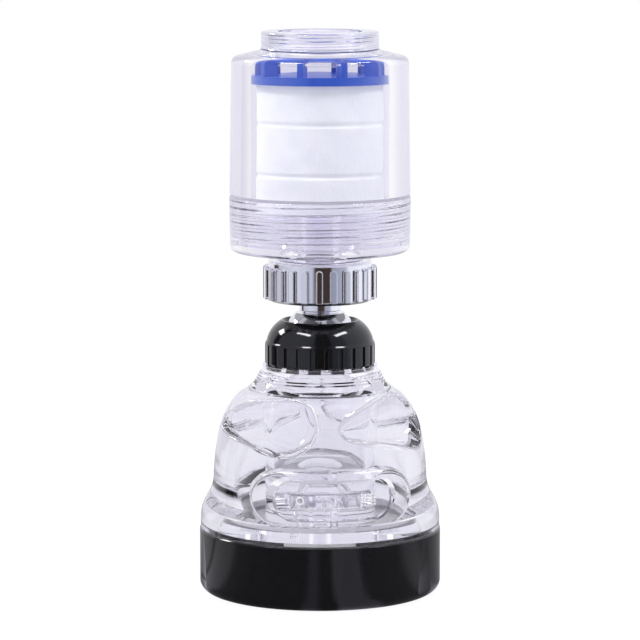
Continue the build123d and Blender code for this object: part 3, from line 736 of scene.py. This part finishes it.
# The floor close to the object, which lies in the object's own shade between the soft boxes
table_for_metal = (
    (-180, (0.35, 0.35, 0.37)),
    (-122, (0.45, 0.45, 0.48)),
    (-116, (0.45, 0.45, 0.48)),
    (-112, (0.15, 0.15, 0.16)),
    (-108, (0.55, 0.55, 0.60)),
    (-87, (0.45, 0.45, 0.50)),
    (-80, (0.16, 0.16, 0.17)),
    (-62, (0.10, 0.10, 0.11)),
    (-18, (0.08, 0.08, 0.09)),
    (-14, (0.26, 0.27, 0.34)),
    (-10, (0.26, 0.27, 0.34)),
    (-6, (0.08, 0.08, 0.09)),
    (1, (0.08, 0.08, 0.09)),
    (4, (0.50, 0.50, 0.58)),
    (23, (0.42, 0.42, 0.50)),
    (28, (0.14, 0.14, 0.16)),
    (60, (0.16, 0.16, 0.18)),
    (70, (0.45, 0.45, 0.50)),
    (82, (0.45, 0.45, 0.50)),
    (90, (0.25, 0.25, 0.27)),
    (180, (0.35, 0.35, 0.37)),
)
table_shade = (0.84, 0.84, 0.90)
white = (1.0, 1.0, 1.0)

world = bpy.data.worlds.new("studio")
bpy.context.scene.world = world
world.use_nodes = True
sky = world.node_tree
sky.nodes.clear()
sky_turn = compass_turn(sky, sky.nodes.new("ShaderNodeTexCoord").outputs["Generated"])
sky_ray = sky.nodes.new("ShaderNodeLightPath").outputs
seen = compass_colours(sky, sky_turn, studio_for_matt)
for ray_kind, colour in (
    ("Is Glossy Ray", compass_colours(sky, sky_turn, studio_for_metal)),
    ("Is Transmission Ray", compass_colours(sky, sky_turn, studio_for_glass)),
    ("Is Camera Ray", white),
):
    seen = colour_mix(sky, sky_ray[ray_kind], seen, colour)
background = add_node(sky, "ShaderNodeBackground", {"Color": seen})
add_node(sky, "ShaderNodeOutputWorld", {"Surface": background.outputs[0]})


lamp_target = Vector((0, 0, 0.07))


def lamp(name, compass, height_angle, distance, width, height, power):
    """A soft box at a compass angle and a height angle in degrees, turned to the object."""
    data = bpy.data.lights.new(name, "AREA")
    data.shape = "RECTANGLE"
    data.size = width
    data.size_y = height
    data.energy = power
    item = add_object(name, data)
    turn = math.radians(compass)
    rise = math.radians(height_angle)
    way = Vector((math.sin(turn) * math.cos(rise), -math.cos(turn) * math.cos(rise), math.sin(rise)))
    item.location = lamp_target + way * distance
    item.rotation_euler = (-way).to_track_quat("-Z", "Y").to_euler()
    item.visible_transmission = False


lamp("right_box", 62, 53, distance=0.8, width=0.40, height=0.10, power=2.5)
lamp("left_box", -62, 57, distance=0.8, width=0.40, height=0.10, power=2.7)
lamp("rear_box", -126, 32, distance=0.8, width=0.22, height=0.14, power=1.6)
lamp("top_box", 27, 82, distance=0.7, width=0.4, height=0.4, power=0.7)

# Pale floor: white to the eye, with a faint shadow; in metal and plastic it glows with painted reflections
# of the studio's colours, and with painted shade close to the object
reach = 3.0
floor_drop = 0.0002
floor_glow = 1.06
shadow_share = 0.1
near_radius = 0.17
far_radius = 0.34
floor_mesh = bpy.data.meshes.new("floor")
floor_corners = [(-reach, -reach, 0), (reach, -reach, 0), (reach, reach, 0), (-reach, reach, 0)]
floor_mesh.from_pydata(floor_corners, [], [(0, 1, 2, 3)])
floor = add_object("floor", floor_mesh)
floor.location.z = -floor_drop
floor_material, ground, floor_shader = new_material(
    "floor", Base_Color=(0.8, 0.8, 0.8), Roughness=0.6
)
place = ground.nodes.new("ShaderNodeTexCoord").outputs["Object"]
distance = add_node(ground, "ShaderNodeVectorMath", {0: place}, operation="LENGTH").outputs["Value"]
away = add_node(
    ground,
    "ShaderNodeMapRange",
    {"Value": distance, "From Min": near_radius, "From Max": far_radius},
    interpolation_type="SMOOTHSTEP",
).outputs["Result"]
ground_turn = compass_turn(ground, place)
ground_ray = ground.nodes.new("ShaderNodeLightPath").outputs
near_metal = compass_colours(ground, ground_turn, table_for_metal)
far_metal = compass_colours(ground, ground_turn, studio_for_metal)
far_glass = compass_colours(ground, ground_turn, studio_for_glass)
# Painted reflections: the colours that metal and plastic find on the floor, darker near the object as
# painted shade
painted_floor_reflection = colour_mix(ground, away, near_metal, far_metal)
seen_through = colour_mix(ground, away, table_shade, far_glass)
seen = colour_mix(ground, ground_ray["Is Glossy Ray"], white, painted_floor_reflection)
seen = colour_mix(ground, ground_ray["Is Transmission Ray"], seen, seen_through)
glow = add_node(ground, "ShaderNodeEmission", {"Color": seen, "Strength": floor_glow})
eye = calculate(ground, "MULTIPLY", ground_ray["Is Camera Ray"], 1 - shadow_share)
bent = calculate(ground, "MAXIMUM", ground_ray["Is Glossy Ray"], ground_ray["Is Transmission Ray"])
glow_share = calculate(ground, "MAXIMUM", eye, bent)
blend = add_node(
    ground, "ShaderNodeMixShader", {0: glow_share, 1: floor_shader.outputs[0], 2: glow.outputs[0]}
)
feed(ground, ground.nodes["Material Output"].inputs["Surface"], blend.outputs[0])
floor_mesh.materials.append(floor_material)

# Camera at the photograph's place
camera_turn = math.radians(-7)
camera_distance = 0.890
camera_height = 0.187
aim_height = 0.0705
camera_data = bpy.data.cameras.new("camera")
camera_data.lens = 195.4
camera_data.sensor_width = 36
camera = add_object("camera", camera_data)
camera.location = (
    camera_distance * math.sin(camera_turn),
    -camera_distance * math.cos(camera_turn),
    camera_height,
)
aim = Vector((0, 0, aim_height)) - camera.location
camera.rotation_euler = aim.to_track_quat("-Z", "Y").to_euler()
bpy.context.scene.camera = camera
bpy.context.scene.view_settings.view_transform = "Standard"
